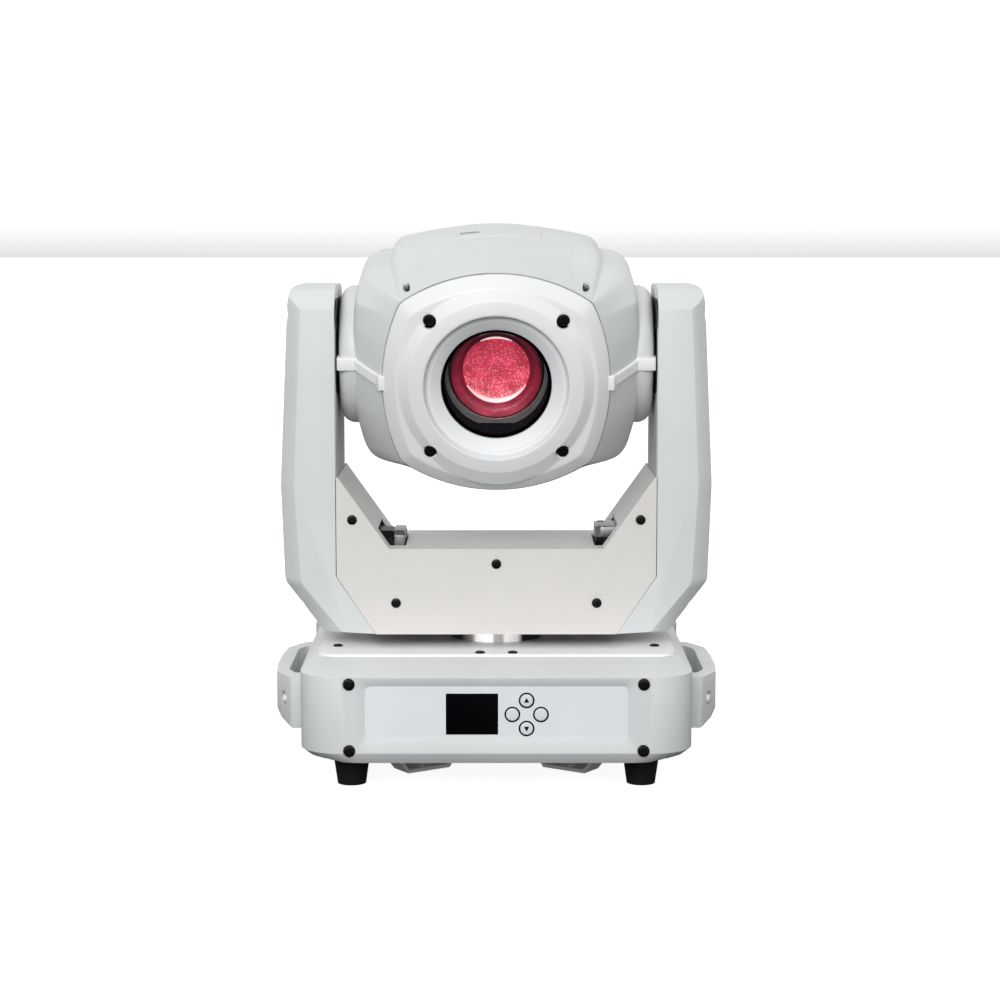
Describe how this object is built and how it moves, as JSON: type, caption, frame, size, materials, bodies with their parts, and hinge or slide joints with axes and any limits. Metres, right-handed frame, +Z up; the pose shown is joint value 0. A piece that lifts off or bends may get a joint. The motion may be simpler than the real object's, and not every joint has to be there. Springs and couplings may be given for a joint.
{
  "type": "moving head light",
  "caption": "Motorised spot luminaire: base with control panel and carrying handles, panning yoke, and a tilting head with lens, effect wheels, prism and LED engine",
  "frame": {"origin": "on the floor under the pan axis, at the middle of the footprint", "axes": "+Z up along the pan axis, -Y out of the control panel, +X along the tilt axis to the right seen from the front"},
  "size_m": [0.366, 0.2693, 0.45],
  "materials": {
    "shell_plastic": "fine moulded texture, satin white",
    "white_sheet": "powder coated white sheet steel",
    "bezel_plastic": "smooth satin white",
    "panel_overlay": "printed polycarbonate overlay, light grey",
    "screen": "black display glass",
    "key_plastic": "light grey key caps with a dark ring",
    "black_screw": "black oxide steel",
    "rubber": "black rubber",
    "black_plastic": "black moulded plastic",
    "black_metal": "black anodised metal",
    "steel": "bare steel",
    "shaft_steel": "turned steel",
    "motor_metal": "stepper motor laminations and end caps",
    "aluminium": "extruded aluminium",
    "circuit_board": "green solder mask",
    "belt_rubber": "toothed belt",
    "lens_glass": "coated optical glass",
    "wheel_metal": "thin sheet wheel"
  },
  "bodies": {
    "base": {"base_shell": "shell_plastic", "base_bottom_plate": "white_sheet", "base_top_plate": "white_sheet", "base_screws": "black_screw", "rubber_feet": "rubber", "control_panel": "panel_overlay", "display": "screen", "base_electronics": "circuit_board", "side_handles": "shell_plastic", "rear_panel": "white_sheet", "power_sockets": "black_plastic", "data_sockets": "black_metal", "omega_brackets": "white_sheet", "safety_eye": "steel", "pan_shaft": "shaft_steel", "pan_fixed_pulley": "aluminium"},
    "key_up": {"button_up": "key_plastic"},
    "key_menu": {"button_menu": "key_plastic"},
    "key_down": {"button_down": "key_plastic"},
    "key_enter": {"button_enter": "key_plastic"},
    "stud_left_outer": {"quarter_turn_left_outer": "steel"},
    "stud_left_inner": {"quarter_turn_left_inner": "steel"},
    "stud_right_outer": {"quarter_turn_right_outer": "steel"},
    "stud_right_inner": {"quarter_turn_right_inner": "steel"},
    "yoke": {"yoke_frame": "white_sheet", "yoke_covers": "white_sheet", "yoke_saddle": "white_sheet", "yoke_screws": "black_screw", "arm_cover_left": "shell_plastic", "arm_cover_right": "shell_plastic", "pivot_bearings": "steel", "pan_belt": "belt_rubber", "pan_motor": "motor_metal", "pan_motor_bracket": "steel", "tilt_motor": "motor_metal", "tilt_belt": "belt_rubber", "driver_board": "circuit_board"},
    "pan_motor_rotor": {"pan_motor_pulley": "aluminium"},
    "tilt_motor_rotor": {"tilt_motor_pulley": "aluminium"},
    "head": {"head_top_shell": "shell_plastic", "head_bottom_shell": "shell_plastic", "side_trims": "bezel_plastic", "head_front_bezel": "bezel_plastic", "bezel_screws": "black_screw", "head_rear_cover": "shell_plastic", "head_chassis": "steel", "tilt_axles": "black_metal", "tilt_pulley": "aluminium", "lens_barrel": "black_metal", "front_lens": "lens_glass", "guide_rods": "steel", "wheel_motors": "motor_metal", "light_engine": "aluminium", "fan_frame": "black_plastic"},
    "focus": {"focus_lens": "lens_glass"},
    "gobo_wheel": {"gobo_wheel": "wheel_metal"},
    "colour_wheel": {"colour_wheel": "wheel_metal"},
    "prism_arm": {"prism_arm": "black_metal"},
    "prism": {"prism": "lens_glass"},
    "fan": {"fan_rotor": "black_plastic"}
  },
  "joints": [
    {"name": "pan", "type": "hinge", "parent": "base", "child": "yoke", "pos_m": [0, 0, 0.12], "axis": [0, 0, 1], "range_deg": [-270, 270]},
    {"name": "tilt", "type": "hinge", "parent": "yoke", "child": "head", "pos_m": [0, 0, 0.342], "axis": [1, 0, 0], "range_deg": [-234, 36]},
    {"name": "pan_motor_spin", "type": "hinge", "parent": "yoke", "child": "pan_motor_rotor", "pos_m": [0.1035, 0, 0.135], "axis": [0, 0, 1], "range_deg": [-1300, 1300]},
    {"name": "tilt_motor_spin", "type": "hinge", "parent": "yoke", "child": "tilt_motor_rotor", "pos_m": [-0.15, 0, 0.175], "axis": [1, 0, 0], "range_deg": [-1080, 180]},
    {"name": "focus_slide", "type": "slide", "parent": "head", "child": "focus", "axis": [0, -0.9877, -0.1564], "range_m": [-0.014, 0.014]},
    {"name": "gobo_wheel_spin", "type": "hinge", "parent": "head", "child": "gobo_wheel", "pos_m": [0, 0.02369, 0.38422], "axis": [0, -0.9877, -0.1564], "continuous": true},
    {"name": "colour_wheel_spin", "type": "hinge", "parent": "head", "child": "colour_wheel", "pos_m": [0, 0.0415, 0.3101], "axis": [0, -0.9877, -0.1564], "continuous": true},
    {"name": "prism_swing", "type": "hinge", "parent": "head", "child": "prism_arm", "pos_m": [0.036, 0.00198, 0.34231], "axis": [0, -0.9877, -0.1564], "range_deg": [0, 75]},
    {"name": "prism_spin", "type": "hinge", "parent": "prism_arm", "child": "prism", "pos_m": [0, 0.00198, 0.34231], "axis": [0, -0.9877, -0.1564], "continuous": true},
    {"name": "fan_spin", "type": "hinge", "parent": "head", "child": "fan", "pos_m": [0, 0.10667, 0.3589], "axis": [0, -0.9877, -0.1564], "continuous": true},
    {"name": "button_up_press", "type": "slide", "parent": "base", "child": "key_up", "axis": [0, 1, 0], "range_m": [0, 0.0008], "stiffness_N_per_m": 400},
    {"name": "button_menu_press", "type": "slide", "parent": "base", "child": "key_menu", "axis": [0, 1, 0], "range_m": [0, 0.0008], "stiffness_N_per_m": 400},
    {"name": "button_down_press", "type": "slide", "parent": "base", "child": "key_down", "axis": [0, 1, 0], "range_m": [0, 0.0008], "stiffness_N_per_m": 400},
    {"name": "button_enter_press", "type": "slide", "parent": "base", "child": "key_enter", "axis": [0, 1, 0], "range_m": [0, 0.0008], "stiffness_N_per_m": 400},
    {"name": "quarter_turn_left_outer_lock", "type": "hinge", "parent": "base", "child": "stud_left_outer", "pos_m": [-0.09632, -0.07349, 0.022], "axis": [0, 0, 1], "range_deg": [0, 90]},
    {"name": "quarter_turn_left_inner_lock", "type": "hinge", "parent": "base", "child": "stud_left_inner", "pos_m": [-0.02668, -0.02651, 0.022], "axis": [0, 0, 1], "range_deg": [0, 90]},
    {"name": "quarter_turn_right_outer_lock", "type": "hinge", "parent": "base", "child": "stud_right_outer", "pos_m": [0.09632, -0.07349, 0.022], "axis": [0, 0, 1], "range_deg": [0, 90]},
    {"name": "quarter_turn_right_inner_lock", "type": "hinge", "parent": "base", "child": "stud_right_inner", "pos_m": [0.02668, -0.02651, 0.022], "axis": [0, 0, 1], "range_deg": [0, 90]}
  ],
  "couplings": [
    {"joint": "pan_motor_spin", "follows": "pan", "ratio": -4.6667},
    {"joint": "tilt_motor_spin", "follows": "tilt", "ratio": 4.4444}
  ]
}
